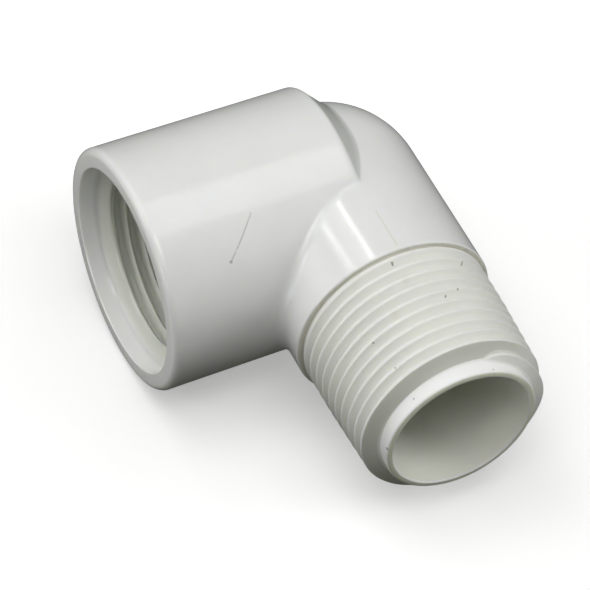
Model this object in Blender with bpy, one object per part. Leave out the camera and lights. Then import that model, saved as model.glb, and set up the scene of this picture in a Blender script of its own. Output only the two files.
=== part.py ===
"""PVC street elbow, 3/4 inch NPT: a female threaded socket and a male threaded spigot at 90 degrees.

One injection-moulded piece. It lies on its side: the socket opens towards -X, the spigot points
towards -Y, and both axes are level. The origin is on the table, under the middle of the part.
Lengths in the tables below are millimetres, counted outwards from where the two axes cross.
"""
import math

import bmesh
import bpy
from mathutils import Matrix, Vector

MM = 0.001

# Thread: American taper pipe thread, 14 per inch, 1 in 16 on diameter
PITCH = 25.4 / 14
TAPER = 1 / 32
CREST_FLAT = 0.44
ROOT_FLAT_MIN = 0.05
THREAD_DEPTH = 1.12
FLANK = math.tan(math.radians(30))
FLANK_LENGTH = THREAD_DEPTH * FLANK

# Socket barrel
SOCKET_FACE = 29.4
BARREL_RADIUS_FACE = 16.68
BARREL_RADIUS_BACK = 16.38
BARREL_EDGE_ROUND = 1.0
BARREL_BACK = 0.05
BACK_CONE_LENGTH = 3.2
BACK_CONE_DROP = 3.35

# Socket hollow
COUNTERBORE_RADIUS = 14.06
COUNTERBORE_END = 26.9
SOCKET_THREAD_START = 25.6
SOCKET_THREAD_END = 12.0
SOCKET_MAJOR_RADIUS = 13.15
SOCKET_GROOVE_PHASE = 25.24
WATERWAY_RADIUS = 10.2
BEND_RADIUS_INSIDE = 10.0

# Bend and spigot leg
BEND_RADIUS = 13.7
LEG_RADIUS_SHOULDER = 13.9
SHOULDER = 21.0
SHOULDER_GROOVE_RADIUS = 13.0
SPIGOT_CREST_RADIUS = 12.98
SPIGOT_CREST_LIMIT = 13.3
SPIGOT_LAST_CREST = 38.3
SPIGOT_THREAD_END = 40.0
NOSE_RADIUS = 10.68
NOSE_EDGE_ROUND = 0.15
SPIGOT_FACE = 41.4
SPIGOT_BORE_RADIUS = 9.7
SPIGOT_BORE_RADIUS_INNER = 9.45

# Spigot thread start: the floor leaves the nose first, then the ridge rises from the floor
FLOOR_START_DEG = -109.0
FLOOR_RISE_DEG = 20.0
RIDGE_FIRST_LIFT = 0.2
RIDGE_RISE_DEG = (35.0, 82.0)
RIDGE_SLIDE = 0.50
RIDGE_SLIDE_DEG = 45.0
LAST_FLANK = 0.36
LAST_FLANK_DEG = 50.0

SIDES = 36
CORNERS = 4
CUT_MARGIN = 1.0
ROUND_STEPS = 4

# Where the axes cross, in the part's own frame
CROSSING = Vector((
    (SOCKET_FACE - LEG_RADIUS_SHOULDER) / 2,
    (SPIGOT_FACE - BARREL_RADIUS_FACE) / 2,
    BARREL_RADIUS_FACE,
))

# Each leg's own frame: z runs outwards along the leg
SOCKET_FRAME = Matrix(((0, 0, -1, 0), (-1, 0, 0, 0), (0, 1, 0, 0), (0, 0, 0, 1)))
SPIGOT_FRAME = Matrix(((-1, 0, 0, 0), (0, 0, -1, 0), (0, -1, 0, 0), (0, 0, 0, 1)))


def clear_scene():
    for item in list(bpy.data.objects):
        bpy.data.objects.remove(item, do_unlink=True)


def pvc_material():
    material = bpy.data.materials.new("white_pvc")
    material.use_nodes = True
    shader = material.node_tree.nodes["Principled BSDF"]
    shader.inputs["Base Color"].default_value = (0.78, 0.78, 0.75, 1)
    shader.inputs["Roughness"].default_value = 0.32
    shader.inputs["Metallic"].default_value = 0.0
    return material


def ring(height, radius):
    """A plain turned ring: the same height and radius at every side, and it winds by no rows."""
    return 0, [(height, radius)] * (SIDES + 1)


def wind(rows):
    """Marks rows that follow a helix. The last pitch of rows lies flat on the thread's end."""
    last_wound = len(rows) - CORNERS
    return [(CORNERS if index < last_wound else 0, row) for index, row in enumerate(rows)]


def ramp(value, start, end):
    return min(1.0, max(0.0, (value - start) / (end - start)))


def spigot_thread_rings():
    """Rows that follow the helix, four to a pitch: ridge crest, front flank, root, rear flank.

    Row k at the last side is row k + 4 at the first, so the rows wind into one ridge.
    A row that runs past either end of the thread collapses onto that end.
    """
    turns = int((SPIGOT_LAST_CREST - SHOULDER) / PITCH) + 2
    rows = []
    for turn in range(-turns, 3):
        for corner in ("crest_rear", "crest_front", "root_rear", "root_front"):
            rows.append([spigot_point(turn, corner, side) for side in range(SIDES + 1)])
    return wind(rows)


def spigot_ridge(degrees):
    """Crest height, crest radius and the radius of the floor in front of it, and how far that
    floor has wound from its start on the nose, at one angle along the helix."""
    crest = SPIGOT_LAST_CREST + PITCH * degrees / 360
    ridge_wound = FLOOR_START_DEG - degrees + 360
    floor_wound = FLOOR_START_DEG - degrees
    full_crest = min(SPIGOT_CREST_RADIUS + (SPIGOT_LAST_CREST - crest) * TAPER, SPIGOT_CREST_LIMIT)
    full_floor = full_crest - THREAD_DEPTH
    behind = NOSE_RADIUS + (full_floor - NOSE_RADIUS) * ramp(ridge_wound, 0, FLOOR_RISE_DEG)
    floor = NOSE_RADIUS + (full_floor - NOSE_RADIUS) * ramp(floor_wound, 0, FLOOR_RISE_DEG)
    lift = RIDGE_FIRST_LIFT * ramp(ridge_wound, 0, FLOOR_RISE_DEG)
    lift += (1 - RIDGE_FIRST_LIFT) * ramp(ridge_wound, *RIDGE_RISE_DEG)
    crest -= RIDGE_SLIDE * (1 - ramp(ridge_wound, 0, RIDGE_SLIDE_DEG))
    return crest, behind + THREAD_DEPTH * lift, floor, floor_wound


def spigot_point(turn, corner, side):
    degrees = 360 * (turn + side / SIDES)
    crest, radius, floor, floor_wound = spigot_ridge(degrees)
    next_crest, next_radius, _, _ = spigot_ridge(degrees + 360)
    slope = LAST_FLANK + (FLANK - LAST_FLANK) * ramp(floor_wound, 0, LAST_FLANK_DEG)
    front_foot = crest + CREST_FLAT / 2 + (radius - floor) * slope
    rear_foot = next_crest - CREST_FLAT / 2 - (next_radius - floor) * FLANK
    if corner == "crest_rear":
        height = crest - CREST_FLAT / 2
    elif corner == "crest_front":
        height = crest + CREST_FLAT / 2
    elif corner == "root_rear":
        height, radius = front_foot, floor
    else:
        height, radius = max(rear_foot, front_foot + ROOT_FLAT_MIN), floor
    if height >= SPIGOT_THREAD_END:
        return SPIGOT_THREAD_END, NOSE_RADIUS
    if height <= SHOULDER:
        return SHOULDER, SHOULDER_GROOVE_RADIUS
    run_out = SHOULDER_GROOVE_RADIUS + (height - SHOULDER) / FLANK
    return height, min(radius, run_out)


def socket_thread_rings():
    """The socket's thread as the air inside it: a ridge of air for each groove in the wall."""
    turns = int((SOCKET_GROOVE_PHASE - SOCKET_THREAD_END) / PITCH) + 2
    rows = []
    for turn in range(-turns, 2):
        for offset, depth in socket_corners():
            rows.append([socket_point(turn, offset, depth, side) for side in range(SIDES + 1)])
    return wind(rows)


def socket_corners():
    """Height offset and depth below the groove's bottom, for the four corners of one pitch."""
    return (
        (-CREST_FLAT / 2, 0.0),
        (CREST_FLAT / 2, 0.0),
        (CREST_FLAT / 2 + FLANK_LENGTH, THREAD_DEPTH),
        (PITCH - CREST_FLAT / 2 - FLANK_LENGTH, THREAD_DEPTH),
    )


def socket_point(turn, offset, depth, side):
    height = SOCKET_GROOVE_PHASE + PITCH * (turn + side / SIDES) + offset
    height = min(max(height, SOCKET_THREAD_END), SOCKET_THREAD_START)
    major = SOCKET_MAJOR_RADIUS - (SOCKET_THREAD_START - height) * TAPER
    minor = major - THREAD_DEPTH
    from_end = min(height - SOCKET_THREAD_END, SOCKET_THREAD_START - height)
    return height, min(major - depth, minor + from_end / FLANK)


def add_turned_body(name, rings, frame):
    """Joins rings into one closed body about the frame's z axis, and closes both ends."""
    bm = bmesh.new()
    grid = []
    for _, points in rings:
        row = []
        for side in range(SIDES):
            height, radius = points[side]
            angle = 2 * math.pi * side / SIDES
            point = Vector((radius * math.cos(angle), radius * math.sin(angle), height))
            row.append(bm.verts.new(frame @ (point * MM)))
        grid.append(row)
    closed = [row + [grid[index + rings[index][0]][0]] for index, row in enumerate(grid)]
    for low, high in zip(closed, closed[1:]):
        for side in range(SIDES):
            corners = [low[side], low[side + 1], high[side + 1], high[side]]
            if len(set(corners)) == 4:
                bm.faces.new(corners)
    bm.faces.new(list(reversed(grid[0])))
    bm.faces.new(grid[-1])
    bmesh.ops.remove_doubles(bm, verts=bm.verts, dist=0.002 * MM)
    bmesh.ops.recalc_face_normals(bm, faces=bm.faces)
    mesh = bpy.data.meshes.new(name)
    bm.to_mesh(mesh)
    bm.free()
    body = bpy.data.objects.new(name, mesh)
    bpy.context.scene.collection.objects.link(body)
    return body


def hollow(body, cutter, operation):
    modifier = body.modifiers.new(cutter.name, "BOOLEAN")
    modifier.operation = operation
    modifier.solver = "EXACT"
    modifier.object = cutter
    cutter.hide_render = True
    cutter.display_type = "WIRE"


def arc(centre_height, centre_radius, radius, start_deg, end_deg, steps):
    """Rings along a quarter of a round edge; 0 degrees points outwards along the leg."""
    rings = []
    for step in range(steps + 1):
        angle = math.radians(start_deg + (end_deg - start_deg) * step / steps)
        rings.append(ring(centre_height + radius * math.cos(angle), centre_radius + radius * math.sin(angle)))
    return rings


def spigot_outside():
    rings = arc(0, 0, BEND_RADIUS, 175, 90, 8)
    rings.append(ring(SHOULDER, LEG_RADIUS_SHOULDER))
    rings += spigot_thread_rings()
    rings += arc(SPIGOT_FACE - NOSE_EDGE_ROUND, NOSE_RADIUS - NOSE_EDGE_ROUND, NOSE_EDGE_ROUND, 90, 0, 1)
    return rings


def barrel_outside():
    rings = [
        ring(BARREL_BACK - BACK_CONE_LENGTH, BARREL_RADIUS_BACK - BACK_CONE_DROP),
        ring(BARREL_BACK, BARREL_RADIUS_BACK),
    ]
    edge = BARREL_EDGE_ROUND
    rings += arc(SOCKET_FACE - edge, BARREL_RADIUS_FACE - edge, edge, 90, 0, ROUND_STEPS)
    return rings


def socket_hollow():
    rings = arc(0, 0, BEND_RADIUS_INSIDE, 170, 90, 7)
    rings.append(ring(SOCKET_THREAD_END - 1, WATERWAY_RADIUS))
    rings += socket_thread_rings()
    rings.append(ring(COUNTERBORE_END, COUNTERBORE_RADIUS))
    rings.append(ring(SOCKET_FACE + CUT_MARGIN, COUNTERBORE_RADIUS))
    return rings


def spigot_hollow():
    return [
        ring(0, SPIGOT_BORE_RADIUS_INNER),
        ring(SPIGOT_FACE, SPIGOT_BORE_RADIUS),
        ring(SPIGOT_FACE + CUT_MARGIN, SPIGOT_BORE_RADIUS),
    ]


def build_elbow():
    elbow = add_turned_body("elbow_body", spigot_outside(), SPIGOT_FRAME)
    hollow(elbow, add_turned_body("barrel", barrel_outside(), SOCKET_FRAME), "UNION")
    hollow(elbow, add_turned_body("socket_air", socket_hollow(), SOCKET_FRAME), "DIFFERENCE")
    hollow(elbow, add_turned_body("spigot_air", spigot_hollow(), SPIGOT_FRAME), "DIFFERENCE")
    elbow.data.materials.append(pvc_material())
    elbow.data.shade_smooth()
    elbow.data.set_sharp_from_angle(angle=math.radians(25))
    for item in bpy.context.scene.collection.objects:
        item.location = CROSSING * MM
    return elbow


clear_scene()
build_elbow()
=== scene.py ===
"""PVC street elbow as it looks: one dense moulding with rounded threads and a blended bend.

All shapes are in millimetres from the point where the two bores' axes cross. The socket runs
towards -X and the spigot towards -Y. A height is a distance from the crossing along one of them.
The CAD model's box places the crossing. Lights, floor and backdrop are in metres.
"""

import math

import bmesh
import bpy
import numpy as np
from mathutils import Matrix, Vector


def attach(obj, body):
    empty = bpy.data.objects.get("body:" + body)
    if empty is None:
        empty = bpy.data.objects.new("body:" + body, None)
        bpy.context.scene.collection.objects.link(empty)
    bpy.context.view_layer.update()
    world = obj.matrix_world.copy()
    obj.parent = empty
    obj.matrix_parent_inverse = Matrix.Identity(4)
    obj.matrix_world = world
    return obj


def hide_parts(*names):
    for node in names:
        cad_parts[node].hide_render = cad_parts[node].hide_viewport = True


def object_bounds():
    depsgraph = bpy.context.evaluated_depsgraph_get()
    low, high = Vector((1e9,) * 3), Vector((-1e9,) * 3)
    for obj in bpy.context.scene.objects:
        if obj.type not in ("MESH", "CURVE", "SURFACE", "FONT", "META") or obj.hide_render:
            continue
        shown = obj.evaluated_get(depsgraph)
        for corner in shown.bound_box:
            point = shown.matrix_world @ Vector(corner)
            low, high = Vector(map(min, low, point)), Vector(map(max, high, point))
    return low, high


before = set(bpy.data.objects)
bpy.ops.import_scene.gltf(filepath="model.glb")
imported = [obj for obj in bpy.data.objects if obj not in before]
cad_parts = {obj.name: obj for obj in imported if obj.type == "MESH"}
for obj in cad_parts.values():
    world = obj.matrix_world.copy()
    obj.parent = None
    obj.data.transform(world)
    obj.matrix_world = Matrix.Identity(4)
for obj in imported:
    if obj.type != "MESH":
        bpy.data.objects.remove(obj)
cad_low, cad_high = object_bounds()

MM = 0.001

# Thread, the same inside and outside: 14 turns to an inch, on a taper of 1 in 16 across
PITCH = 25.4 / 14
TAPER = 1 / 32
CREST_FLAT = 0.44
THREAD_DEPTH = 1.12
FLANK = math.tan(math.radians(30))
FLANK_LENGTH = THREAD_DEPTH * FLANK
ROOT_FLAT_MIN = 0.05
REAR_FLANK_MIN = 0.01
SPARE_TURNS = 3

# How far the rounding of each corner reaches: both ends of the outer flat, then of the inner flat
SPIGOT_CORNER_REACH = (0.20, 0.06, 0.16, 0.24)
SOCKET_CORNER_REACH = (0.15, 0.15, 0.34, 0.34)
CORNER_REACH_MAX = 0.45
CORNER_STEPS = 3

# Socket barrel
SOCKET_FACE = 29.4
BARREL_RADIUS_FACE = 16.68
BARREL_RADIUS_BACK = 16.38
BARREL_EDGE_ROUND = 1.0
BARREL_BACK = 0.05
BACK_CONE_LENGTH = 3.2
BACK_CONE_DROP = 3.35
BACK_EDGE_ROUND = 0.7

# Socket hollow
COUNTERBORE_RADIUS = 14.06
SOCKET_THREAD_START = 25.6
SOCKET_THREAD_END = 12.0
SOCKET_MAJOR_RADIUS = 13.15
SOCKET_GROOVE_PHASE = 25.24
SOCKET_MOUTH_CHAMFER = 0.12
LEAD_IN_END = 27.1
LEAD_IN_STEPS = 8
WATERWAY_RADIUS = 10.2
BEND_RADIUS_INSIDE = 10.0

# Bend and spigot leg
BEND_RADIUS = 13.7
LEG_RADIUS_SHOULDER = 13.9
SHOULDER = 21.0
SHOULDER_EDGE_ROUND = 0.2
SHOULDER_FILL_RADIUS = 13.15
SHOULDER_FILL_SLOPE = 0.8
SPIGOT_CREST_RADIUS = 12.98
SPIGOT_CREST_LIMIT = 13.3
SPIGOT_LAST_CREST = 38.3
SPIGOT_THREAD_END = 40.0
NOSE_RADIUS = 10.68
NOSE_EDGE_ROUND = 0.40
SPIGOT_FACE = 41.4
SPIGOT_BORE_RADIUS = 9.7
SPIGOT_BORE_RADIUS_INNER = 9.45
SPIGOT_MOUTH_CHAMFER = 0.15

# Where the spigot's thread runs out: the floor in front of the ridge, then the ridge itself
FLOOR_START_DEG = -109.0
FLOOR_RISE_DEG = 7.0
RIDGE_FIRST_LIFT = 0.2
RIDGE_RISE_DEG = (35.0, 82.0)
RIDGE_SLIDE = 0.50
RIDGE_SLIDE_DEG = 45.0
LAST_FLANK = 0.36
LAST_FLANK_DEG = 50.0

# Blend between the legs, and the heights at which its mesh ends and the turned rings start
BLEND_RADIUS = 1.6
BLEND_SOCKET_SIDE = 15.6
BLEND_SPIGOT_SIDE = 18.4
BLEND_OVERLAP = 2.0
STITCH_GAP = 0.5
RIM_SEARCH = 1.0

# Plain rings are set this far from an edge or a thread's end
BARREL_EDGE_GAP = 0.4
LEG_RING_GAP = 1.2
LEG_EDGE_GAP = 0.1
NOSE_RING_GAP = 0.4
WATERWAY_GAP = 1.0

# Mesh
SIDES = 240
SOCKET_SIDES = 180
BLEND_VOXEL = 0.34
TRIM_TOLERANCE = 0.35 * BLEND_VOXEL
BARREL_RINGS = 12
BALL_START_DEG = 178
BALL_STEPS = 60
BEND_INSIDE_STEPS = 24
BARREL_EDGE_STEPS = 6
EDGE_STEPS = 3
SAME_POINT = 0.0008
BORE_TWIST_DEG = 0.43
CUT_PAST_FACE = 0.05
CUT_CLEARANCE = 1.0
SHARP_ANGLE_DEG = 40

SOCKET_FRAME = Matrix(((0, 0, -1, 0), (-1, 0, 0, 0), (0, 1, 0, 0), (0, 0, 0, 1)))
SPIGOT_FRAME = Matrix(((-1, 0, 0, 0), (0, 0, -1, 0), (0, -1, 0, 0), (0, 0, 0, 1)))

CROSSING = Vector((
    cad_high.x - LEG_RADIUS_SHOULDER * MM,
    cad_high.y - BARREL_RADIUS_FACE * MM,
    cad_low.z + BARREL_RADIUS_FACE * MM,
))


# ---------------------------------------------------------------- turned and threaded skins

def turned(height, radius, sides=SIDES):
    """A plain ring: the rows that it winds on by, none here, and heights and radii at its sides."""
    return 0, np.full(sides + 1, float(height)), np.full(sides + 1, float(radius))


def arc(centre_height, centre_radius, radius, start_deg, end_deg, steps, sides=SIDES):
    """Rings along a circular arc. At 0 degrees it points up the axis, at 90 degrees out from it."""
    rings = []
    for step in range(steps + 1):
        angle = math.radians(start_deg + (end_deg - start_deg) * step / steps)
        height = centre_height + radius * math.cos(angle)
        rings.append(turned(height, centre_radius + radius * math.sin(angle), sides))
    return rings


def rounded(corners, reaches, steps):
    """Cuts each corner of a repeating profile into a short curve. A corner is (heights, radii)."""
    rows = []
    count = len(reaches)
    for index in range(count, len(corners) - 1):
        before, here, after = corners[index - 1], corners[index], corners[index + 1]
        reach = reaches[index % count]
        ends = []
        for other in (before, after):
            gap_h, gap_r = other[0] - here[0], other[1] - here[1]
            length = np.hypot(gap_h, gap_r)
            share = np.minimum(CORNER_REACH_MAX, reach / np.maximum(length, 1e-9))
            ends.append((here[0] + gap_h * share, here[1] + gap_r * share))
        for step in range(steps):
            t = step / (steps - 1)
            weights = ((1 - t) ** 2, 2 * t * (1 - t), t ** 2)
            height = weights[0] * ends[0][0] + weights[1] * here[0] + weights[2] * ends[1][0]
            radius = weights[0] * ends[0][1] + weights[1] * here[1] + weights[2] * ends[1][1]
            rows.append((height, radius))
    return rows


def wound(corners, reaches):
    """Rows of a helix: each closes on the row one pitch further on."""
    rows = rounded(corners, reaches, CORNER_STEPS)
    per_pitch = len(reaches) * CORNER_STEPS
    last = len(rows) - per_pitch
    return [(per_pitch if index < last else 0, h, r) for index, (h, r) in enumerate(rows)]


def eased(value, start, end):
    """0 before the start, 1 past the end, and smooth between them."""
    t = np.clip((value - start) / (end - start), 0, 1)
    return t * t * (3 - 2 * t)


def cut_at_shoulder(rows):
    """Ends every side of the thread where its own profile meets the shoulder."""
    heights = np.stack([height for _, height, _ in rows])
    radii = np.stack([radius for _, _, radius in rows])
    sides = range(SIDES + 1)
    at_shoulder = [np.interp(SHOULDER, heights[:, side], radii[:, side]) for side in sides]
    cut = []
    for step, height, radius in rows:
        kept = height > SHOULDER
        cut.append((step, np.where(kept, height, SHOULDER), np.where(kept, radius, at_shoulder)))
    return cut


def settled(wound_deg):
    """Share of its way that the thread's floor has gone from the nose to its full radius."""
    return 1 - np.exp(-np.maximum(wound_deg, 0) / FLOOR_RISE_DEG)


def spigot_ridge(turn, angle):
    """One turn's crest height and radius, and the radius of the floor in front of it.

    The floor leaves the nose first. The ridge rises from the floor later, and starts nearer to
    the turn behind it.
    """
    crest = SPIGOT_LAST_CREST + PITCH * (turn + angle / 360)
    ridge_wound = FLOOR_START_DEG - (360 * turn + angle) + 360
    floor_wound = ridge_wound - 360
    full_crest = np.minimum(
        SPIGOT_CREST_RADIUS + (SPIGOT_LAST_CREST - crest) * TAPER, SPIGOT_CREST_LIMIT)
    full_floor = full_crest - THREAD_DEPTH
    behind = NOSE_RADIUS + (full_floor - NOSE_RADIUS) * settled(ridge_wound)
    lift = RIDGE_FIRST_LIFT * settled(ridge_wound)
    lift = lift + (1 - RIDGE_FIRST_LIFT) * eased(ridge_wound, *RIDGE_RISE_DEG)
    radius = behind + THREAD_DEPTH * lift
    floor = NOSE_RADIUS + (full_floor - NOSE_RADIUS) * settled(floor_wound)
    crest = crest - RIDGE_SLIDE * (1 - np.clip(ridge_wound / RIDGE_SLIDE_DEG, 0, 1))
    return crest, radius, floor, floor_wound


def spigot_thread():
    angle = 360 * np.arange(SIDES + 1) / SIDES
    turns = int((SPIGOT_LAST_CREST - SHOULDER) / PITCH) + SPARE_TURNS
    corners = []
    for turn in range(-turns, SPARE_TURNS + 1):
        crest, radius, floor, floor_wound = spigot_ridge(turn, angle)
        next_crest, next_radius, _, _ = spigot_ridge(turn + 1, angle)
        slope = LAST_FLANK + (FLANK - LAST_FLANK) * eased(floor_wound, 0, LAST_FLANK_DEG)
        front_foot = crest + CREST_FLAT / 2 + (radius - floor) * slope
        next_start = next_crest - CREST_FLAT / 2
        rear_foot = next_start - (next_radius - floor) * FLANK
        rear_foot = np.clip(rear_foot, front_foot + ROOT_FLAT_MIN, next_start - REAR_FLANK_MIN)
        corners.append((crest - CREST_FLAT / 2, radius))
        corners.append((crest + CREST_FLAT / 2, radius))
        corners.append((front_foot, floor))
        corners.append((rear_foot, floor))
    rows = []
    for step, height, radius in wound(corners, SPIGOT_CORNER_REACH):
        fill = SHOULDER_FILL_RADIUS - (height - SHOULDER) * SHOULDER_FILL_SLOPE
        radius = np.maximum(radius, fill)
        radius = np.where(height >= SPIGOT_THREAD_END, NOSE_RADIUS, radius)
        rows.append((step, np.minimum(height, SPIGOT_THREAD_END), radius))
    return cut_at_shoulder(rows)


def socket_thread():
    share_of_turn = np.arange(SOCKET_SIDES + 1) / SOCKET_SIDES
    turns = int((SOCKET_GROOVE_PHASE - SOCKET_THREAD_END) / PITCH) + SPARE_TURNS
    profile = (
        (-CREST_FLAT / 2, 0.0),
        (CREST_FLAT / 2, 0.0),
        (CREST_FLAT / 2 + FLANK_LENGTH, THREAD_DEPTH),
        (PITCH - CREST_FLAT / 2 - FLANK_LENGTH, THREAD_DEPTH),
    )
    corners = []
    for turn in range(-turns, SPARE_TURNS):
        groove = SOCKET_GROOVE_PHASE + PITCH * (turn + share_of_turn)
        for offset, depth in profile:
            corners.append((groove + offset, np.full(SOCKET_SIDES + 1, -depth)))
    rows = []
    for step, height, lift in wound(corners, SOCKET_CORNER_REACH):
        height = np.clip(height, SOCKET_THREAD_END, SOCKET_THREAD_START)
        major = SOCKET_MAJOR_RADIUS - (SOCKET_THREAD_START - height) * TAPER
        from_end = np.minimum(height - SOCKET_THREAD_END, SOCKET_THREAD_START - height)
        run_out = major - THREAD_DEPTH + from_end / FLANK
        rows.append((step, height, np.minimum(major + lift, run_out)))
    return rows


def add_rows(bm, rows, turn_frame):
    """Adds rings and the faces between them. Returns the first and the last ring's vertices."""
    grid = []
    for _, heights, radii in rows:
        sides = len(heights) - 1
        angles = 2 * math.pi * np.arange(sides) / sides
        x, y = radii[:-1] * np.cos(angles), radii[:-1] * np.sin(angles)
        grid.append([bm.verts.new(turn_frame @ Vector(point)) for point in zip(x, y, heights[:-1])])
    closed = [row + [grid[index + rows[index][0]][0]] for index, row in enumerate(grid)]
    for low, high in zip(closed, closed[1:]):
        for side in range(len(low) - 1):
            bm.faces.new((low[side], low[side + 1], high[side + 1], high[side]))
    return grid[0], grid[-1]


def finished(bm, name):
    """Joins points that coincide, turns the faces outwards and makes the object."""
    bmesh.ops.remove_doubles(bm, verts=bm.verts, dist=SAME_POINT)
    bmesh.ops.recalc_face_normals(bm, faces=bm.faces)
    mesh = bpy.data.meshes.new(name)
    bm.to_mesh(mesh)
    bm.free()
    item = bpy.data.objects.new(name, mesh)
    bpy.context.scene.collection.objects.link(item)
    return item


def turned_body(name, rows, turn_frame, twist_deg=0.0):
    """A closed solid from rows of rings, with flat ends."""
    bm = bmesh.new()
    twisted = turn_frame @ Matrix.Rotation(math.radians(twist_deg), 4, "Z")
    first, last = add_rows(bm, rows, twisted)
    bm.faces.new(list(reversed(first)))
    bm.faces.new(last)
    return finished(bm, name)


# ---------------------------------------------------------------- the blended bend

BARREL_SLOPE = (BARREL_RADIUS_FACE - BARREL_RADIUS_BACK) / (SOCKET_FACE - BARREL_BACK)
LEG_SLOPE = (LEG_RADIUS_SHOULDER - BEND_RADIUS) / SHOULDER
BACK_CONE_SLOPE = BACK_CONE_DROP / BACK_CONE_LENGTH
BLEND_COSINES = (-0.5, 0.9995)
GRADIENT_STEP = 0.01
GRADIENT_MIN_SQUARED = 0.25
TINY = 1e-6


def round_edge(a, b, dot):
    """Where a round edge joins two surfaces, and how far its centre line is from there.

    a and b are the distances from the surfaces shifted to that line, and dot is the cosine
    between the ways out of them.
    """
    on_edge = (a - b * dot > 0) & (b - a * dot > 0)
    squared = (a * a + b * b - 2 * a * b * dot) / (1 - dot * dot)
    return on_edge, np.sqrt(np.maximum(squared, TINY ** 2))


def barrel_shape(points):
    """Signed distance in mm to the barrel's outside, and the direction straight out of it.

    The barrel is a slightly conical wall and a back cone, with the edge between them rounded.
    """
    radial = np.maximum(np.hypot(points[:, 1], points[:, 2]), TINY)
    wall_way = np.array((BARREL_SLOPE, 1)) / math.hypot(1, BARREL_SLOPE)
    cone_way = np.array((BACK_CONE_SLOPE, 1)) / math.hypot(1, BACK_CONE_SLOPE)
    beyond = points[:, 0] + BARREL_BACK
    past = radial - BARREL_RADIUS_BACK
    wall = past * wall_way[1] + beyond * wall_way[0]
    cone = past * cone_way[1] + beyond * cone_way[0]
    dot = float(wall_way @ cone_way)
    a, b = wall + BACK_EDGE_ROUND, cone + BACK_EDGE_ROUND
    on_edge, reach = round_edge(a, b, dot)
    share_wall = ((a - b * dot) / (1 - dot * dot) / reach)[:, None]
    share_cone = ((b - a * dot) / (1 - dot * dot) / reach)[:, None]
    nearer = np.where((wall > cone)[:, None], wall_way, cone_way)
    way = np.where(on_edge[:, None], share_wall * wall_way + share_cone * cone_way, nearer)
    out_y, out_z = way[:, 1] * points[:, 1] / radial, way[:, 1] * points[:, 2] / radial
    distance = np.where(on_edge, reach - BACK_EDGE_ROUND, np.maximum(wall, cone))
    distance = np.maximum(distance, points[:, 0] - BACK_CONE_LENGTH)
    return distance, np.stack((way[:, 0], out_y, out_z), 1)


def leg_shape(points):
    """Signed distance in mm to the spigot leg and the round back of the bend, and the way out."""
    radial = np.maximum(np.hypot(points[:, 0], points[:, 2]), TINY)
    leg = radial - BEND_RADIUS + LEG_SLOPE * points[:, 1]
    ball = np.linalg.norm(points, axis=1)
    on_leg = points[:, 1] < 0
    along = np.full(len(points), LEG_SLOPE)
    leg_out = np.stack((points[:, 0] / radial, along, points[:, 2] / radial), 1)
    out = np.where(on_leg[:, None], leg_out, points / np.maximum(ball, TINY)[:, None])
    return np.where(on_leg, leg, ball - BEND_RADIUS), out


def bend_distance(points):
    """Both legs joined with a round fillet, whatever the angle they meet at."""
    barrel, barrel_out = barrel_shape(points)
    leg, leg_out = leg_shape(points)
    dot = np.clip((barrel_out * leg_out).sum(1), *BLEND_COSINES)
    on_fillet, reach = round_edge(BLEND_RADIUS - barrel, BLEND_RADIUS - leg, dot)
    return np.where(on_fillet, BLEND_RADIUS - reach, np.minimum(barrel, leg))


def bend_gradient(points):
    """The way in which the blended shape's distance grows fastest, measured along each axis."""
    columns = []
    for axis in range(3):
        shift = np.zeros(3)
        shift[axis] = GRADIENT_STEP
        change = bend_distance(points + shift) - bend_distance(points - shift)
        columns.append(change / (2 * GRADIENT_STEP))
    return np.stack(columns, 1)


def onto_bend(points, rounds=6):
    """Moves the points straight onto the blended shape, a little nearer in every round."""
    for _ in range(rounds):
        gradient = bend_gradient(points)
        squared = np.maximum((gradient ** 2).sum(1), GRADIENT_MIN_SQUARED)
        points = points - gradient * (bend_distance(points) / squared)[:, None]
    return points


def voxel_bend():
    """A closed, evenly meshed skin of both legs where they meet, still without the blend."""
    barrel = turned_body("barrel_rough", [
        turned(-BACK_CONE_LENGTH, BARREL_RADIUS_BACK - BACK_CONE_DROP),
        turned(BARREL_BACK, BARREL_RADIUS_BACK),
        turned(BLEND_SOCKET_SIDE + BLEND_OVERLAP, BARREL_RADIUS_BACK),
    ], SOCKET_FRAME)
    ball = arc(0, 0, BEND_RADIUS, BALL_START_DEG, 90, BALL_STEPS)
    end = turned(BLEND_SPIGOT_SIDE + BLEND_OVERLAP, BEND_RADIUS)
    leg = turned_body("leg_rough", ball + [end], SPIGOT_FRAME)
    joined = barrel.modifiers.new("join", "BOOLEAN")
    joined.operation = "UNION"
    joined.solver = "EXACT"
    joined.object = leg
    voxels = barrel.modifiers.new("voxels", "REMESH")
    voxels.mode = "VOXEL"
    voxels.voxel_size = BLEND_VOXEL
    evaluated = barrel.evaluated_get(bpy.context.evaluated_depsgraph_get())
    bm = bmesh.new()
    bm.from_mesh(evaluated.to_mesh())
    evaluated.to_mesh_clear()
    for item in (barrel, leg):
        bpy.data.objects.remove(item, do_unlink=True)
    return bm


def trimmed_bend():
    """The same skin drawn onto the blended shape, and open where the turned rings go on."""
    bm = voxel_bend()
    ends = (
        ((-BLEND_SOCKET_SIDE, 0, 0), (-1, 0, 0)),
        ((0, -BLEND_SPIGOT_SIDE, 0), (0, -1, 0)),
    )
    for point, normal in ends:
        bmesh.ops.bisect_plane(
            bm, geom=bm.verts[:] + bm.edges[:] + bm.faces[:], dist=TRIM_TOLERANCE,
            plane_co=point, plane_no=normal, clear_outer=True)
    bm.verts.ensure_lookup_table()
    points = onto_bend(np.array([vert.co[:] for vert in bm.verts]))
    for vert, point in zip(bm.verts, points):
        vert.co = point
    return bm


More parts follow.
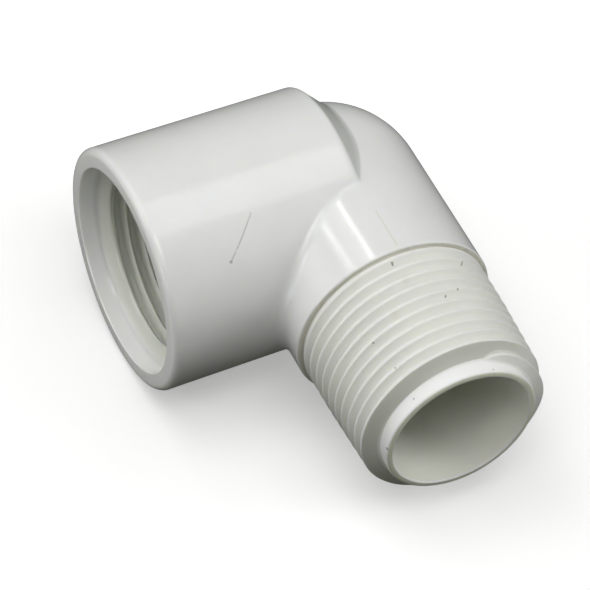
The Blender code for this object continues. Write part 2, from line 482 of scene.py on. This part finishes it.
def stitch(bm, loop_a, loop_b, angle_of):
    """Fills the band between two rings of different counts, walking both by angle."""
    a = sorted(loop_a, key=angle_of)
    b = sorted(loop_b, key=angle_of)
    angles_a = [angle_of(v) for v in a] + [angle_of(a[0]) + 2 * math.pi]
    angles_b = [angle_of(v) for v in b] + [angle_of(b[0]) + 2 * math.pi]
    i = j = 0
    while i < len(a) or j < len(b):
        here_a, here_b = a[i % len(a)], b[j % len(b)]
        step_a = j >= len(b) or (i < len(a) and angles_a[i + 1] <= angles_b[j + 1])
        if step_a:
            bm.faces.new((here_a, a[(i + 1) % len(a)], here_b))
            i += 1
        else:
            bm.faces.new((here_a, b[(j + 1) % len(b)], here_b))
            j += 1


def barrel_rows():
    """The barrel's plain wall and the rounded edge of its face."""
    edge = BARREL_EDGE_ROUND
    rows = []
    start, end = BLEND_SOCKET_SIDE + STITCH_GAP, SOCKET_FACE - edge - BARREL_EDGE_GAP
    for height in np.linspace(start, end, BARREL_RINGS):
        rows.append(turned(height, BARREL_RADIUS_BACK + BARREL_SLOPE * (height - BARREL_BACK)))
    rows += arc(SOCKET_FACE - edge, BARREL_RADIUS_FACE - edge, edge, 90, 0, BARREL_EDGE_STEPS)
    return rows


def leg_rows():
    """The spigot leg's wall, the shoulder, the thread and the nose."""
    edge, nose = SHOULDER_EDGE_ROUND, NOSE_EDGE_ROUND
    start = BLEND_SPIGOT_SIDE + STITCH_GAP
    rows = []
    for height in (start, SHOULDER - LEG_RING_GAP, SHOULDER - edge - LEG_EDGE_GAP):
        radius = BEND_RADIUS + (LEG_RADIUS_SHOULDER - BEND_RADIUS) * height / SHOULDER
        rows.append(turned(height, radius))
    rows += arc(SHOULDER - edge, LEG_RADIUS_SHOULDER - edge, edge, 90, 0, EDGE_STEPS)
    rows += spigot_thread()
    rows.append(turned(SPIGOT_THREAD_END + NOSE_RING_GAP, NOSE_RADIUS))
    rows += arc(SPIGOT_FACE - nose, NOSE_RADIUS - nose, nose, 90, 0, EDGE_STEPS)
    return rows


def outer_skin():
    bm = trimmed_bend()
    rim = {v for e in bm.edges if len(e.link_faces) == 1 for v in e.verts}
    socket_rim = [v for v in rim if v.co.x < RIM_SEARCH - BLEND_SOCKET_SIDE]
    spigot_rim = [v for v in rim if v.co.y < RIM_SEARCH - BLEND_SPIGOT_SIDE and v not in socket_rim]
    sides = (
        (barrel_rows(), SOCKET_FRAME, socket_rim, lambda v: math.atan2(v.co.z, v.co.y)),
        (leg_rows(), SPIGOT_FRAME, spigot_rim, lambda v: math.atan2(v.co.z, v.co.x)),
    )
    for rows, turn_frame, rim_side, angle_of in sides:
        first, last = add_rows(bm, rows, turn_frame)
        bm.faces.new(last)
        stitch(bm, rim_side, first, angle_of)
    return finished(bm, "elbow")


def opening(face, radius, chamfer, sides=SIDES):
    """The end of a hollow: a small chamfer up to the face, then straight on out of the part."""
    wide = radius + chamfer + CUT_PAST_FACE
    return [
        turned(face - chamfer, radius, sides),
        turned(face + CUT_PAST_FACE, wide, sides),
        turned(face + CUT_CLEARANCE, wide, sides),
    ]


def socket_air():
    """The hollow of the socket leg: bend, waterway, thread, lead-in and counterbore."""
    rows = arc(0, 0, BEND_RADIUS_INSIDE, BALL_START_DEG, 90, BEND_INSIDE_STEPS, SOCKET_SIDES)
    rows.append(turned(SOCKET_THREAD_END - WATERWAY_GAP, WATERWAY_RADIUS, SOCKET_SIDES))
    rows += socket_thread()
    crest = SOCKET_MAJOR_RADIUS - THREAD_DEPTH
    for share in np.arange(1, LEAD_IN_STEPS + 1) / LEAD_IN_STEPS:
        height = SOCKET_THREAD_START + (LEAD_IN_END - SOCKET_THREAD_START) * share
        radius = crest + (COUNTERBORE_RADIUS - crest) * eased(share, 0, 1)
        rows.append(turned(height, radius, SOCKET_SIDES))
    rows += opening(SOCKET_FACE, COUNTERBORE_RADIUS, SOCKET_MOUTH_CHAMFER, SOCKET_SIDES)
    return rows


def spigot_air():
    """The hollow of the spigot leg, which widens a little towards the tip."""
    rows = [turned(0, SPIGOT_BORE_RADIUS_INNER)]
    rows += opening(SPIGOT_FACE, SPIGOT_BORE_RADIUS, SPIGOT_MOUTH_CHAMFER)
    return rows


def build_elbow():
    """The outer skin with both hollows cut out of it, moved to its place in the frame."""
    elbow = outer_skin()
    cutters = [
        turned_body("socket_air", socket_air(), SOCKET_FRAME),
        turned_body("spigot_air", spigot_air(), SPIGOT_FRAME, BORE_TWIST_DEG),
    ]
    for cutter in cutters:
        cut = elbow.modifiers.new(cutter.name, "BOOLEAN")
        cut.operation = "DIFFERENCE"
        cut.solver = "EXACT"
        cut.object = cutter
    evaluated = elbow.evaluated_get(bpy.context.evaluated_depsgraph_get())
    mesh = bpy.data.meshes.new_from_object(evaluated)
    elbow.modifiers.clear()
    elbow.data = mesh
    for cutter in cutters:
        bpy.data.objects.remove(cutter, do_unlink=True)
    mesh.transform(Matrix.Translation(CROSSING) @ Matrix.Scale(MM, 4))
    mesh.shade_smooth()
    mesh.set_sharp_from_angle(angle=math.radians(SHARP_ANGLE_DEG))
    mesh.name = "elbow"
    return elbow


elbow = build_elbow()


# ---------------------------------------------------------------- material

BODY_COLOUR = (0.852, 0.858, 0.848, 1)
THREAD_COLOUR = (0.850, 0.855, 0.820, 1)
CLOUD_COLOUR = (0.818, 0.825, 0.805, 1)
# Painted shade for the thread's flanks that face away from the lights
FLANK_SHADE_COLOUR = (0.690, 0.700, 0.640, 1)
STAIN_COLOUR = (0.600, 0.540, 0.400, 1)
SPECK_COLOUR = (0.200, 0.190, 0.140, 1)
SCRATCH_COLOUR = (0.420, 0.420, 0.390, 1)

BODY_ROUGHNESS = 0.14
THREAD_ROUGHNESS = 0.40
REFRACTIVE_INDEX = 1.53
SUBSURFACE_WEIGHT = 0.35
SUBSURFACE_RADIUS = (1.0, 1.0, 0.7)
SUBSURFACE_SCALE = 0.0010

# Middle of the painted shade line in the groove at the shoulder
GROOVE_HEIGHT = SHOULDER + 0.10

# Uneven patches: bumps per mm, detail, two limits of the noise, and what it becomes at each
CLOUDS = (0.16, 3.0, 0.35, 0.75, 0.0, 0.55)
HANDLING = (0.22, 4.0, 0.30, 0.70, -0.03, 0.05)
RAGGED_EDGES = (4.0, 2.0, 0.30, 0.70, -0.04, 0.05)
BROKEN_LINE = (1.6, 1.0, 0.30, 0.50, 0.25, 0.60)

# A limit is a coordinate of the surface, where a zone starts to show and where it shows fully.
THREAD_ZONE = (("spigot_height", SHOULDER - 0.15, SHOULDER + 0.15),)
OUTSIDE_ZONE = (("from_spigot_axis", 10.3, 10.4),)

# Painted light and shade: each surface below is given a lighter or darker colour for how light falls on
# it.
# What each tone lies on, its strength, its colour and the limits of its zone. Later ones cover
# earlier ones. Heights and distances are in mm, and the angle is in radians.
PAINTED_LIGHT_AND_SHADE = (
    # Painted shade: the back cone is darker where it lies in the valley between the barrel's back edge
    # and the bend
    ("back cone", 1.0, (0.660, 0.670, 0.645, 1), (
        ("off_cone", 0.40, 0.10), ("socket_height", 0.0, -0.5), ("socket_height", -5.0, -4.0))),
    # Painted shade: the spigot thread's last flank is darker, as it faces away from the lights
    ("last flank shade", 1.0, FLANK_SHADE_COLOUR, (
        ("past_crest", 0.15, 0.32), ("past_crest", 1.25, 1.05),
        ("angle", 1.2, 0.7), ("from_spigot_axis", 10.5, 10.7))),
    # Painted shade: every front flank of the spigot's thread is a little darker, as it faces away from
    # the lights
    ("front flanks shade", 0.24, FLANK_SHADE_COLOUR, (
        ("in_pitch", 0.12, 0.40), ("in_pitch", 1.30, 0.60),
        ("past_crest", 0.1, -0.1), ("spigot_height", SHOULDER + 0.4, SHOULDER + 1.2))),
    # Painted light: the socket's face and the entrance of its counterbore are lighter where light falls
    # into the mouth
    ("mouth", 1.0, (0.960, 0.965, 0.945, 1), (
        ("socket_height", 27.0, 27.6), ("from_socket_axis", 16.3, 15.9))),
    # Painted shade: the inside of the socket is darker and olive, as in a recess
    ("socket", 1.0, (0.740, 0.755, 0.690, 1), (
        ("socket_height", 27.4, 26.2), ("from_socket_axis", 14.2, 13.9), ("socket_height", 8.0, 12.0))),
    # Painted shade: the spigot's bore is tinted yellower, the colour of light bounced inside a hollow
    ("bore", 1.0, (0.865, 0.870, 0.790, 1), (
        ("from_spigot_axis", 10.2, 9.9), ("spigot_height", 9.0, 14.0))),
    # Painted shade: a darker olive line in the groove at the shoulder
    ("shoulder groove shade", 0.7, (0.560, 0.540, 0.430, 1), (
        ("off_groove", 0.22, 0.05), ("from_spigot_axis", 13.8, 13.6))),
    # Painted light: the nose band is lighter, a painted highlight
    ("nose", 1.0, (0.940, 0.945, 0.925, 1), (
        ("spigot_height", 39.0, 39.5), ("from_spigot_axis", 10.45, 10.6),
        ("from_spigot_axis", 11.05, 10.95))),
    # Painted shade: the spigot's end face is darker and olive, as it faces away from the lights
    ("tip", 1.0, (0.780, 0.800, 0.680, 1), (
        ("spigot_height", SPIGOT_FACE - 0.16, SPIGOT_FACE - 0.08),)),
    # Painted highlight: a thin light ring where the inner edge of the tip catches light
    ("burr highlight", 1.0, (0.940, 0.945, 0.925, 1), (
        ("from_spigot_axis", 9.95, 9.90), ("spigot_height", 41.20, 41.26))),
)

# Marks on the leg: angle from straight up towards +X and height along the spigot, then the radius
SPECKS = (
    ((-6.6, 22.05), 0.22),
    ((-13.1, 23.1), 0.13),
    ((38.2, 23.6), 0.20),
    ((20.4, 28.9), 0.16),
    ((12.2, 29.3), 0.16),
    ((9.8, 29.7), 0.15),
    ((-39.6, 31.1), 0.16),
    ((-36.3, 36.2), 0.15),
    ((-39.5, 40.1), 0.17),
    ((-84.4, 41.1), 0.28),
    ((22.1, 40.9), 0.15),
)
SPECK_STRENGTH = 0.75
SPECK_CORE_SHARE = 0.45
STAINS = (((-20.7, 29.2), 1.0), ((-5.4, 25.3), 0.8))
STAIN_STRENGTH = 0.14
STAIN_CORE = 0.1

# Marks at points in space: a scratch that ends in a dent, seams, flow lines and ripples. An edge
# is the distance at which a mark starts to show, and the distance at which it shows fully.
SCRATCH = ((-15.28, -8.34, 14.30), (-17.72, -10.72, 12.61), (-19.84, -12.38, 10.99))
SCRATCH_EDGE = (0.15, 0.07)
SCRATCH_DEPTH = 0.010
DENT_EDGE = (0.34, 0.10)
DENT_STRENGTH = 0.85
DENT_DEPTH = 0.0255
LEG_SEAM = ((0.0, -13.9, 13.83), (0.0, -20.3, 13.89))
THREAD_END_SEAM = ((0.0, -38.3, 12.60), (-0.24, -39.0, 11.60))
SEAM_EDGE = (0.14, 0.04)
SEAM_STRENGTH = 0.34
BARREL_FLOW_LINE = ((-9.0, -13.6, 9.3), (-24.0, -10.1, 13.1))
FLOW_LINE_EDGE = (0.12, 0.02)
FLOW_LINE_HEIGHT = 0.006
RIPPLES = (((-26.3, -9.60, 13.50), 2.2), ((-13.3, -9.43, 13.60), 2.4), ((-8.0, -9.90, 13.25), 2.0))
RIPPLE_HEIGHT = 0.035

# Relief of the whole surface: bumps per mm, detail, stretch along each axis, and height in mm
RELIEF = (
    (0.10, 1.0, (1.0, 1.0, 1.0), 0.050),
    (0.55, 2.0, (0.35, 1.0, 1.0), 0.0045),
    (3.2, 2.0, (1.0, 1.0, 1.0), 0.0016),
)


class Shading:
    """Short names for the node types that the material uses. Positions are mm from the crossing."""

    def __init__(self, material):
        self.tree = material.node_tree
        self.shader = self.tree.nodes["Principled BSDF"]
        source = self.tree.nodes.new("ShaderNodeTexCoord")
        to_mm = self.tree.nodes.new("ShaderNodeMapping")
        to_mm.inputs["Scale"].default_value = (1 / MM, 1 / MM, 1 / MM)
        to_mm.inputs["Location"].default_value = -CROSSING / MM
        self.link(source.outputs["Object"], to_mm.inputs["Vector"])
        self.place = to_mm.outputs["Vector"]
        split = self.tree.nodes.new("ShaderNodeSeparateXYZ")
        self.link(self.place, split.inputs["Vector"])
        x, self.y, z = split.outputs
        self.coordinates = self.surface_coordinates(x, self.y, z)

    def surface_coordinates(self, x, y, z):
        """The coordinates that limits can name. past_crest is how far a point is past the last
        crest of the spigot's thread, and in_pitch is the same within one turn. That crest is at
        its stated height on the -X side and comes down as the angle grows.
        """
        spigot_height = self.math("MULTIPLY", y, -1.0)
        from_socket_axis = self.hypotenuse(y, z)
        drop = self.math("MULTIPLY", x, BACK_CONE_SLOPE)
        cone_radius = self.math("SUBTRACT", BARREL_RADIUS_BACK, drop)
        angle = self.math("ARCTAN2", x, z)
        turned_by = self.math("MULTIPLY", self.math("ADD", angle, math.pi / 2), PITCH / (2 * math.pi))
        crest = self.math("SUBTRACT", SPIGOT_LAST_CREST, turned_by)
        past_crest = self.math("SUBTRACT", spigot_height, crest)
        off_groove = self.math("SUBTRACT", spigot_height, GROOVE_HEIGHT)
        return {
            "angle": angle,
            "socket_height": self.math("MULTIPLY", x, -1.0),
            "spigot_height": spigot_height,
            "from_socket_axis": from_socket_axis,
            "from_spigot_axis": self.hypotenuse(x, z),
            "off_cone": self.math("ABSOLUTE", self.math("SUBTRACT", from_socket_axis, cone_radius)),
            "off_groove": self.math("ABSOLUTE", off_groove),
            "past_crest": past_crest,
            "in_pitch": self.math("FLOORED_MODULO", past_crest, PITCH),
        }

    def link(self, output, socket):
        self.tree.links.new(output, socket)

    def put(self, value, socket):
        if isinstance(value, bpy.types.NodeSocket):
            self.link(value, socket)
        else:
            socket.default_value = value

    def math(self, operation, first, second=0.0):
        node = self.tree.nodes.new("ShaderNodeMath")
        node.operation = operation
        self.put(first, node.inputs[0])
        self.put(second, node.inputs[1])
        return node.outputs[0]

    def hypotenuse(self, first, second):
        squares = [self.math("MULTIPLY", side, side) for side in (first, second)]
        return self.math("SQRT", self.math("ADD", *squares))

    def vector(self, operation, first, second=(0.0, 0.0, 0.0)):
        node = self.tree.nodes.new("ShaderNodeVectorMath")
        node.operation = operation
        self.put(first, node.inputs[0])
        self.put(second, node.inputs[1])
        return node

    def steps(self, value, low, high, to_low=0.0, to_high=1.0):
        """Goes smoothly from to_low to to_high while the value goes from low to high."""
        node = self.tree.nodes.new("ShaderNodeMapRange")
        node.interpolation_type = "SMOOTHSTEP"
        self.put(value, node.inputs["Value"])
        limits = {"From Min": low, "From Max": high, "To Min": to_low, "To Max": to_high}
        for name, number in limits.items():
            node.inputs[name].default_value = number
        return node.outputs["Result"]

    def mix(self, amount, first, second):
        node = self.tree.nodes.new("ShaderNodeMix")
        node.data_type = "RGBA"
        self.put(amount, node.inputs["Factor"])
        self.put(first, node.inputs["A"])
        self.put(second, node.inputs["B"])
        return node.outputs["Result"]

    def noise(self, per_mm, detail=2.0, stretch=(1.0, 1.0, 1.0)):
        scaled = self.vector("MULTIPLY", self.place, stretch)
        node = self.tree.nodes.new("ShaderNodeTexNoise")
        self.link(scaled.outputs["Vector"], node.inputs["Vector"])
        node.inputs["Scale"].default_value = per_mm
        node.inputs["Detail"].default_value = detail
        return node.outputs["Fac"]

    def patches(self, per_mm, detail, low, high, to_low, to_high):
        return self.steps(self.noise(per_mm, detail), low, high, to_low, to_high)

    def zone(self, limits, strength=1.0):
        """How strongly a zone shows: the product of its limits."""
        shown = strength
        for coordinate, start, full in limits:
            shown = self.math("MULTIPLY", self.steps(self.coordinates[coordinate], start, full), shown)
        return shown

    def distance(self, point):
        return self.vector("DISTANCE", self.place, point).outputs["Value"]

    def distance_on_leg(self, angle_deg, height, radius=SPIGOT_CREST_RADIUS):
        """How far along the leg's surface a point is from an angle and a height on it."""
        unrolled = self.tree.nodes.new("ShaderNodeCombineXYZ")
        self.put(self.math("MULTIPLY", self.coordinates["angle"], radius), unrolled.inputs["X"])
        self.put(self.y, unrolled.inputs["Y"])
        spot = (math.radians(angle_deg) * radius, -height, 0.0)
        return self.vector("DISTANCE", unrolled.outputs["Vector"], spot).outputs["Value"]

    def distance_to_line(self, start, end):
        way = Vector(end) - Vector(start)
        from_start = self.vector("SUBTRACT", self.place, start).outputs["Vector"]
        along = self.vector("DOT_PRODUCT", from_start, tuple(way / way.length_squared)).outputs["Value"]
        held = self.math("MINIMUM", self.math("MAXIMUM", along, 0.0), 1.0)
        back = self.tree.nodes.new("ShaderNodeVectorMath")
        back.operation = "SCALE"
        back.inputs[0].default_value = way
        self.link(held, back.inputs["Scale"])
        return self.vector("DISTANCE", from_start, back.outputs["Vector"]).outputs["Value"]


def resin_colour_and_painted_light(make):
    """Cloudy resin, a creamier thread, and painted light and shade on single surfaces over them."""
    colour = make.mix(make.zone(THREAD_ZONE), BODY_COLOUR, THREAD_COLOUR)
    colour = make.mix(make.patches(*CLOUDS), colour, CLOUD_COLOUR)
    # Painted light and shade go over the resin here
    for _, strength, painted_colour, limits in PAINTED_LIGHT_AND_SHADE:
        colour = make.mix(make.zone(limits, strength), colour, painted_colour)
    return colour


def with_spots(make, colour):
    """Adds the stains and specks, which lie on the outside of the leg only."""
    outside = make.zone(OUTSIDE_ZONE)
    for spot, size in STAINS:
        amount = make.steps(make.distance_on_leg(*spot), size, STAIN_CORE, 0.0, STAIN_STRENGTH)
        colour = make.mix(make.math("MULTIPLY", amount, outside), colour, STAIN_COLOUR)
    ragged = make.patches(*RAGGED_EDGES)
    for spot, size in SPECKS:
        edge = make.math("ADD", make.distance_on_leg(*spot), ragged)
        amount = make.steps(edge, size, size * SPECK_CORE_SHARE, 0.0, SPECK_STRENGTH)
        colour = make.mix(make.math("MULTIPLY", amount, outside), colour, SPECK_COLOUR)
    return colour


def scratch_and_dent(make):
    """How strongly the scratch shows, and how strongly the dent at its end does."""
    scratched = 0.0
    for start, end in zip(SCRATCH, SCRATCH[1:]):
        stretch = make.steps(make.distance_to_line(start, end), *SCRATCH_EDGE)
        scratched = make.math("MAXIMUM", stretch, scratched)
    return scratched, make.steps(make.distance(SCRATCH[-1]), *DENT_EDGE)


def with_lines(make, colour, scratched, dented):
    """Adds the broken line of the scratch, its dent, and the seams."""
    broken = make.math("MULTIPLY", scratched, make.patches(*BROKEN_LINE))
    colour = make.mix(broken, colour, SCRATCH_COLOUR)
    colour = make.mix(make.math("MULTIPLY", dented, DENT_STRENGTH), colour, SCRATCH_COLOUR)
    for start, end in (LEG_SEAM, THREAD_END_SEAM):
        amount = make.steps(make.distance_to_line(start, end), *SEAM_EDGE, 0.0, SEAM_STRENGTH)
        colour = make.mix(amount, colour, STAIN_COLOUR)
    return colour


def roughness(make):
    """Glossy body, matter thread, and a slow variation from handling."""
    finish = make.steps(make.zone(THREAD_ZONE), 0.0, 1.0, BODY_ROUGHNESS, THREAD_ROUGHNESS)
    return make.math("ADD", finish, make.patches(*HANDLING))


def relief(make, scratched, dented):
    """Height in mm: slow sink of the body, flow along the barrel, orange peel, and the marks."""
    height = 0.0
    for per_mm, detail, stretch, size in RELIEF:
        bumps = make.math("MULTIPLY", make.noise(per_mm, detail, stretch), size)
        height = make.math("ADD", height, bumps)
    height = make.math("SUBTRACT", height, make.math("MULTIPLY", scratched, SCRATCH_DEPTH))
    height = make.math("SUBTRACT", height, make.math("MULTIPLY", dented, DENT_DEPTH))
    for point, size in RIPPLES:
        swell = make.steps(make.distance(point), size, 0.0, 0.0, RIPPLE_HEIGHT)
        height = make.math("ADD", height, swell)
    for start, end in (LEG_SEAM, BARREL_FLOW_LINE):
        line = make.steps(make.distance_to_line(start, end), *FLOW_LINE_EDGE, 0.0, FLOW_LINE_HEIGHT)
        height = make.math("ADD", height, line)
    return height


def pvc_material():
    material = bpy.data.materials.new("moulded_pvc")
    material.use_nodes = True
    make = Shading(material)
    scratched, dented = scratch_and_dent(make)
    colour = with_lines(make, with_spots(make, resin_colour_and_painted_light(make)), scratched, dented)
    make.link(colour, make.shader.inputs["Base Color"])
    make.link(roughness(make), make.shader.inputs["Roughness"])

    bump = make.tree.nodes.new("ShaderNodeBump")
    bump.inputs["Strength"].default_value = 1.0
    bump.inputs["Distance"].default_value = MM
    make.link(relief(make, scratched, dented), bump.inputs["Height"])
    make.link(bump.outputs["Normal"], make.shader.inputs["Normal"])

    make.shader.inputs["IOR"].default_value = REFRACTIVE_INDEX
    make.shader.inputs["Subsurface Weight"].default_value = SUBSURFACE_WEIGHT
    make.shader.inputs["Subsurface Radius"].default_value = SUBSURFACE_RADIUS
    make.shader.inputs["Subsurface Scale"].default_value = SUBSURFACE_SCALE
    return material


elbow.data.materials.clear()
elbow.data.materials.append(pvc_material())
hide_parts("elbow_body")
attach(elbow, "root")


# ---------------------------------------------------------------- stage, lights, camera

# Floor and backdrop, in metres. They glow more with distance, so no horizon shows in low views.
STAGE_COLOUR = (0.80, 0.80, 0.80, 1)
STAGE_ROUGHNESS = 0.9
GLOW_STARTS, GLOW_ENDS = 0.15, 1.2
GLOW_NEAR, GLOW_FAR = 0.36, 0.86
FLOOR_GAP = 0.0002
FLOOR_HALF_WIDTH = 3.0
BACKDROP_RADIUS = 2.9
BACKDROP_HEIGHT = 4.0
BACKDROP_SIDES = 64

WORLD_COLOUR = (0.97, 1.0, 0.82, 1)
WORLD_STRENGTH = 0.05

# Name, azimuth and elevation from the part, width and height in metres, and power in watts
LIGHTS = (
    ("overhead", 0.0, 88.3, 0.60, 0.46, 0.70),
    ("front_high", 0.0, 64.0, 0.25, 0.25, 0.67),
    ("front_left", 315.0, 60.0, 0.25, 0.25, 0.60),
    ("back_left", 191.8, 54.8, 0.035, 0.16, 0.17),
    ("back_high", 225.0, 68.0, 0.46, 0.46, 1.00),
    ("left_panel", 255.0, 27.0, 0.30, 0.35, 0.92),
    ("left_front", 285.0, 6.0, 0.30, 0.15, 0.47),
    ("left_low", 232.0, 14.0, 0.55, 0.45, 0.50),
    ("right_panel", 62.0, 25.0, 0.30, 0.35, 1.65),
    ("back", 219.4, 42.9, 0.04, 0.20, 0.17),
    ("barrel_strip", 85.0, 72.0, 0.41, 0.12, 0.18),
)
LIGHT_DISTANCE = 0.7

# The camera: angles in degrees, distance and aim in mm from the crossing, lens and sensor in mm
CAMERA_AZIMUTH = -28.44
CAMERA_ELEVATION = 50.05
CAMERA_ROLL = 4.32
CAMERA_DISTANCE = 848.3
AIM_RIGHT = -3.90
AIM_UP = -11.90
LENS = 390.8
SENSOR_WIDTH = 36
CLIP_NEAR, CLIP_FAR = 0.01, 20


def stage_material():
    """Plain white that glows a little, less near the part than far from it."""
    material = bpy.data.materials.new("floor")
    material.use_nodes = True
    nodes, links = material.node_tree.nodes, material.node_tree.links
    shader = nodes["Principled BSDF"]
    shader.inputs["Base Color"].default_value = STAGE_COLOUR
    shader.inputs["Roughness"].default_value = STAGE_ROUGHNESS
    shader.inputs["Emission Color"].default_value = (1, 1, 1, 1)
    place = nodes.new("ShaderNodeTexCoord")
    length = nodes.new("ShaderNodeVectorMath")
    length.operation = "LENGTH"
    glow = nodes.new("ShaderNodeMapRange")
    glow.interpolation_type = "SMOOTHSTEP"
    limits = {"From Min": GLOW_STARTS, "From Max": GLOW_ENDS, "To Min": GLOW_NEAR, "To Max": GLOW_FAR}
    for name, number in limits.items():
        glow.inputs[name].default_value = number
    links.new(place.outputs["Object"], length.inputs[0])
    links.new(length.outputs["Value"], glow.inputs["Value"])
    links.new(glow.outputs["Result"], shader.inputs["Emission Strength"])
    return material


def add_stage_mesh(name, points, faces, material):
    mesh = bpy.data.meshes.new(name)
    mesh.from_pydata(points, [], faces)
    mesh.materials.append(material)
    item = bpy.data.objects.new(name, mesh)
    bpy.context.scene.collection.objects.link(item)
    item.location.z = cad_low.z - FLOOR_GAP
    item.visible_diffuse = False
    item.visible_glossy = False
    return item


def add_floor_and_backdrop():
    material = stage_material()
    half = FLOOR_HALF_WIDTH
    points = [(-half, -half, 0), (half, -half, 0), (half, half, 0), (-half, half, 0)]
    add_stage_mesh("floor", points, [(0, 1, 2, 3)], material)

    sides = BACKDROP_SIDES
    points = []
    for height in (0.0, BACKDROP_HEIGHT):
        for side in range(sides):
            angle = 2 * math.pi * side / sides
            points.append((BACKDROP_RADIUS * math.cos(angle), BACKDROP_RADIUS * math.sin(angle), height))
    faces = []
    for side in range(sides):
        after = (side + 1) % sides
        faces.append((side, after, sides + after, sides + side))
    backdrop = add_stage_mesh("backdrop", points, faces, material)
    backdrop.visible_shadow = False


def add_world():
    world = bpy.data.worlds.new("studio")
    world.use_nodes = True
    background = world.node_tree.nodes["Background"]
    background.inputs["Color"].default_value = WORLD_COLOUR
    background.inputs["Strength"].default_value = WORLD_STRENGTH
    bpy.context.scene.world = world


def out_and_level(azimuth, elevation):
    """The way out to an azimuth and elevation, and the level way across it. Azimuth 0 is at -Y."""
    a, e = math.radians(azimuth), math.radians(elevation)
    out = Vector((math.sin(a) * math.cos(e), -math.cos(a) * math.cos(e), math.sin(e)))
    return out, Vector((math.cos(a), math.sin(a), 0))


def add_lights():
    """Soft boxes that face the part, with their widths level."""
    for name, azimuth, elevation, width, height, power in LIGHTS:
        out, level = out_and_level(azimuth, elevation)
        data = bpy.data.lights.new(name, "AREA")
        data.shape = "RECTANGLE"
        data.size, data.size_y = width, height
        data.energy = power
        light = bpy.data.objects.new(name, data)
        turn = Matrix((level, out.cross(level), out)).transposed().to_4x4()
        light.matrix_world = Matrix.Translation(CROSSING + out * LIGHT_DISTANCE) @ turn
        bpy.context.scene.collection.objects.link(light)


def add_camera():
    back, level = out_and_level(CAMERA_AZIMUTH, CAMERA_ELEVATION)
    roll = math.radians(CAMERA_ROLL)
    right = math.cos(roll) * level + math.sin(roll) * back.cross(level)
    up = back.cross(right)
    data = bpy.data.cameras.new("camera")
    data.lens = LENS
    data.sensor_width = SENSOR_WIDTH
    data.clip_start, data.clip_end = CLIP_NEAR, CLIP_FAR
    camera = bpy.data.objects.new("camera", data)
    place = CROSSING + (AIM_RIGHT * right + AIM_UP * up + CAMERA_DISTANCE * back) * MM
    rotation = Matrix((right, up, back)).transposed().to_4x4()
    camera.matrix_world = Matrix.Translation(place) @ rotation
    bpy.context.scene.collection.objects.link(camera)
    bpy.context.scene.camera = camera


add_floor_and_backdrop()
add_world()
add_lights()
add_camera()
bpy.context.scene.view_settings.view_transform = "Standard"
